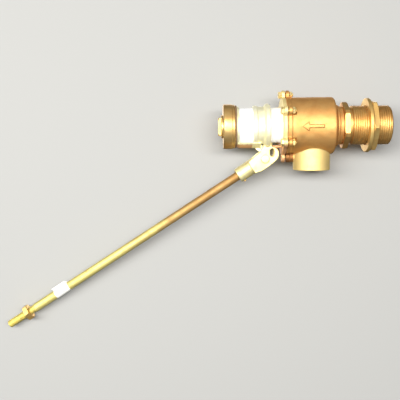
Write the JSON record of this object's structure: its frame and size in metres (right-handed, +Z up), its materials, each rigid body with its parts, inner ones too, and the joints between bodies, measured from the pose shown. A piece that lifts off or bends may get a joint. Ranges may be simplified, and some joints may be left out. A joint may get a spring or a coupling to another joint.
{
  "type": "float valve",
  "caption": "Piston-type brass float valve: flanged bronze body with a downward outlet, threaded inlet tail with a backnut, white piston in an open cage, and a long float arm on a forked lever.",
  "frame": {"origin": "on the inlet axis, where the full inlet thread begins, 4.4 mm outside the hexagon's tank-side face", "axes": "+X along the inlet axis towards the open inlet end, +Z up, so the outlet points along -Z and the float arm swings in the XZ plane"},
  "size_m": [0.4206, 0.067, 0.2578],
  "materials": {
    "bronze": "sand-cast bronze, lightly machined, mottled brown",
    "brass": "machined brass",
    "pale_brass": "bright, freshly finished pale brass",
    "rod_brass": "drawn brass bar with a yellow tarnish",
    "acetal": "white moulded plastic",
    "rubber": "black moulded rubber",
    "fibre": "compressed fibre sheet",
    "paper": "white self-adhesive label, blank",
    "steel": "bent wire"
  },
  "bodies": {
    "valve": {"body": "bronze", "inlet_tail": "bronze", "seat_ring": "brass", "flange_gasket": "fibre", "cage": "pale_brass", "end_cap": "bronze", "cap_washer": "rubber", "fulcrum_pin": "brass", "split_pin": "steel", "flange_screw_top": "brass", "flange_screw_upper_front": "brass", "flange_screw_lower_front": "brass", "flange_screw_bottom": "brass", "flange_screw_lower_back": "brass", "flange_screw_upper_back": "brass", "flange_nut_top": "brass", "flange_nut_upper_front": "brass", "flange_nut_lower_front": "brass", "flange_nut_lower_back": "brass", "flange_nut_upper_back": "brass"},
    "backnut": {"backnut": "brass"},
    "piston": {"piston": "acetal", "piston_seal_rear": "rubber", "piston_seal_front": "rubber", "seat_washer": "rubber", "washer_screw": "brass"},
    "lever": {"lever_knuckle": "pale_brass", "lever_rod": "rod_brass", "rod_set_screw": "brass", "rod_label": "paper"},
    "locknut": {"rod_locknut": "brass"}
  },
  "joints": [
    {"name": "lever_pivot", "type": "hinge", "parent": "valve", "child": "lever", "pos_m": [-0.093, 0, -0.03466], "axis": [0, 1, 0], "range_deg": [0, 24]},
    {"name": "piston_slide", "type": "slide", "parent": "valve", "child": "piston", "axis": [1, 0, 0], "range_m": [0, 0.00811]},
    {"name": "backnut_spin", "type": "hinge", "parent": "valve", "child": "backnut", "pos_m": [0.02, 0, 0], "axis": [1, 0, 0], "continuous": true},
    {"name": "locknut_spin", "type": "hinge", "parent": "lever", "child": "locknut", "pos_m": [-0.3563, 0, -0.20298], "axis": [-0.8425, 0, -0.5386], "continuous": true}
  ],
  "couplings": [
    {"joint": "piston_slide", "follows": "lever_pivot", "m_per_rad": 0.01936}
  ]
}
